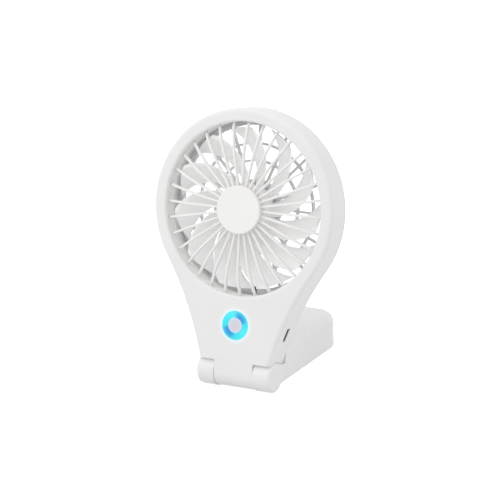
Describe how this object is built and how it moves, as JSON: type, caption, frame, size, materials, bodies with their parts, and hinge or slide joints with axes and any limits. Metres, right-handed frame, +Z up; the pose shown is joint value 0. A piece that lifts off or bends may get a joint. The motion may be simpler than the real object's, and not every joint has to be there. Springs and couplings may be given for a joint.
{
  "type": "foldable handheld fan",
  "caption": "White foldable handheld fan with a round grilled head, a glowing ring button on its neck and a flat hinged battery handle that also serves as its stand.",
  "frame": {"origin": "middle of the standing fan's footprint, on the table", "axes": "+Z up, the air leaves towards -Y, the handle reaches back towards +Y, +X is the side with the charging socket"},
  "size_m": [0.105, 0.0852, 0.1451],
  "materials": {
    "white_shell": "satin",
    "white_grille": "satin",
    "grey_grille": "matte",
    "grey_blade": "satin",
    "light_cyan": "glowing translucent",
    "button_white": "satin",
    "steel": "plain",
    "laminated_steel": "matte",
    "magnet": "matte",
    "brass": "machined",
    "copper": "enamelled wire",
    "board": "solder mask",
    "black_plastic": "matte",
    "chip_white": "moulded",
    "cell_wrap": "shrink film",
    "foam": "foam",
    "feet_rubber": "matte",
    "black_wire": "matte",
    "nylon": "matte"
  },
  "bodies": {
    "handle": {"handle_base": "white_shell", "handle_cover": "white_shell", "handle_screws": "steel", "rubber_feet": "feet_rubber", "battery_pad": "foam", "battery_cell": "cell_wrap", "protection_board": "board", "battery_lead": "black_wire"},
    "head": {"front_shell": "white_shell", "front_grille": "white_grille", "hub_cap": "white_grille", "rear_shell": "white_shell", "rear_grille": "grey_grille", "bearing_tube": "brass", "sleeve_bearings": "brass", "stator_core": "laminated_steel", "stator_coils": "copper", "motor_board": "board", "light_ring": "light_cyan", "tact_switch": "black_plastic", "control_board": "board", "light_chips": "chip_white", "board_chips": "black_plastic", "usb_socket": "steel", "usb_tongue": "black_plastic", "head_screws": "steel", "board_screws": "steel", "hinge_pins": "steel", "hinge_washers": "nylon", "motor_lead": "black_wire", "head_lead": "black_wire"},
    "impeller": {"impeller": "grey_blade", "rotor_yoke": "steel", "magnet_ring": "magnet", "motor_shaft": "steel"},
    "button": {"button_cap": "button_white", "switch_plunger": "black_plastic"}
  },
  "joints": [
    {"name": "head_fold", "type": "hinge", "parent": "handle", "child": "head", "pos_m": [0, -0.03465, 0.008], "axis": [1, 0, 0], "range_deg": [0, 101.5]},
    {"name": "impeller_spin", "type": "hinge", "parent": "head", "child": "impeller", "pos_m": [0, -0.02142, 0.09433], "axis": [0, -0.9715, 0.2369], "continuous": true},
    {"name": "button_press", "type": "slide", "parent": "head", "child": "button", "axis": [0, 0.9715, -0.2369], "range_m": [0, 0.0006], "stiffness_N_per_m": 900, "springref_m": -0.0008}
  ]
}
